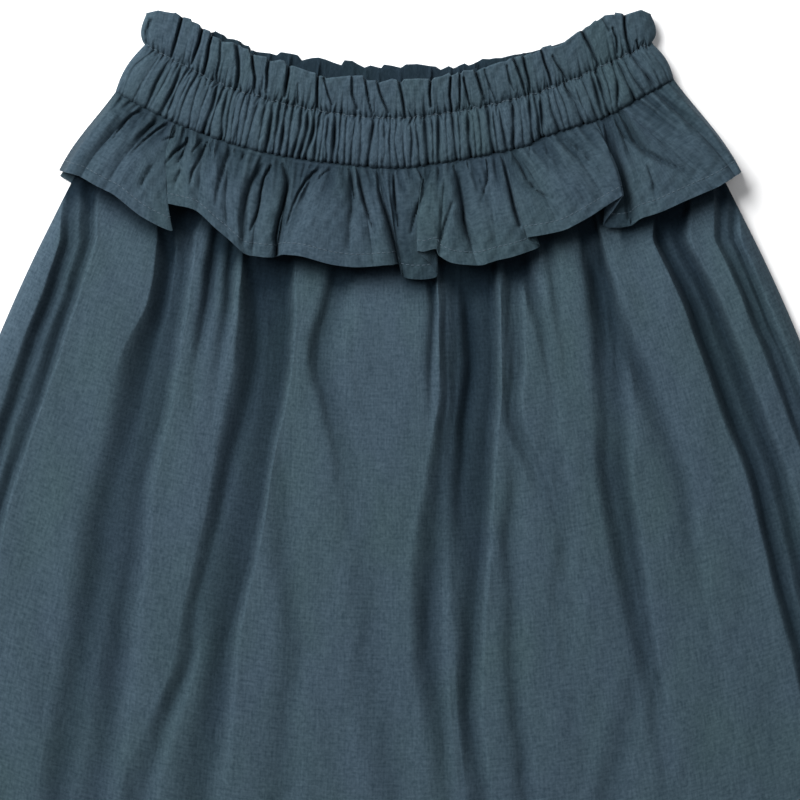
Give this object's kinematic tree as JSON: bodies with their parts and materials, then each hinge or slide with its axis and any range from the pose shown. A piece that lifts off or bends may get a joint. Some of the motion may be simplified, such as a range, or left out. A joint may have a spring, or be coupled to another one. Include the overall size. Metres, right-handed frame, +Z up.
{
  "type": "ruffle skirt",
  "caption": "Gathered cotton skirt with a frilled elastic waist and a ruffle sewn in below it, laid flat on its back.",
  "frame": {"origin": "middle of the skirt's outline, on the surface that it lies on", "axes": "+X across the skirt to the right as seen from above, +Y up the skirt from its hem to its waist, +Z up from the surface through the back to the front"},
  "size_m": [0.5114, 0.4336, 0.0208],
  "materials": {
    "waistband_front_cloth": "matt woven cotton chambray, slate blue",
    "waistband_back_cloth": "matt woven cotton chambray, slate blue",
    "ruffle_front_cloth": "matt woven cotton chambray, slate blue",
    "ruffle_back_cloth": "matt woven cotton chambray, slate blue",
    "skirt_front_cloth": "matt woven cotton chambray, slate blue",
    "skirt_back_cloth": "matt woven cotton chambray, slate blue"
  },
  "bodies": {
    "root": {"waistband_front": "waistband_front_cloth", "waistband_back": "waistband_back_cloth", "ruffle_front": "ruffle_front_cloth", "ruffle_back": "ruffle_back_cloth", "skirt_front": "skirt_front_cloth", "skirt_back": "skirt_back_cloth"}
  },
  "joints": []
}
